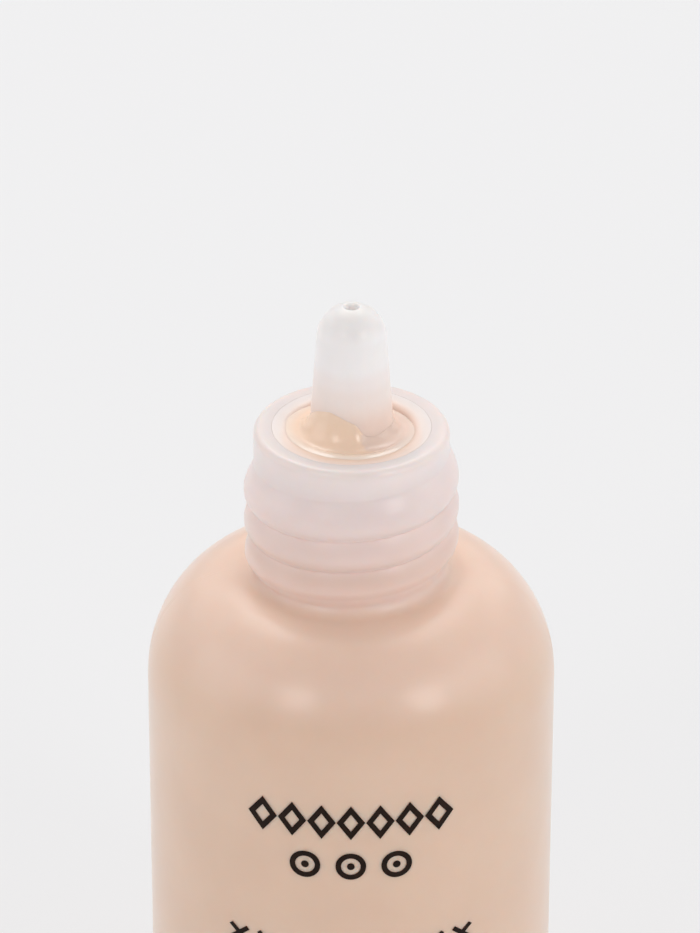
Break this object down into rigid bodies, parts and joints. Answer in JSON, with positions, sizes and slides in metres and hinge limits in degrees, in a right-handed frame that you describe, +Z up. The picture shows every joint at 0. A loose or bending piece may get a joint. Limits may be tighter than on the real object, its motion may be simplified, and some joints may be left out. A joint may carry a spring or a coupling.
{
  "type": "squeeze bottle with nozzle plug",
  "caption": "Round squeeze bottle for liquid foundation, with a threaded neck, a press-in nozzle plug that pulls out for refilling, and its fill.",
  "frame": {"origin": "centre of the standing ring under the base, on the surface that the bottle stands on", "axes": "+Z up along the bottle's axis, out of the orifice; -Y is the printed front; +X is the printed side's right"},
  "size_m": [0.038, 0.0381, 0.0824],
  "materials": {
    "bottle_plastic": "satin, milky translucent polyethylene tinted by the foundation inside",
    "foundation_fill": "opaque nude liquid with a wet gloss",
    "print_ink": "satin dark brown screen-printed ink",
    "plug_plastic": "satin, milky translucent soft polyethylene",
    "foundation_residue": "thin opaque nude liquid, wet"
  },
  "bodies": {
    "root": {"bottle": "bottle_plastic", "foundation": "foundation_fill", "front_print": "print_ink"},
    "plug": {"nozzle_plug": "plug_plastic", "well_residue": "foundation_residue"}
  },
  "joints": [
    {"name": "plug_pull", "type": "slide", "parent": "root", "child": "plug", "axis": [0, 0, 1], "range_m": [0, 0.02]}
  ]
}
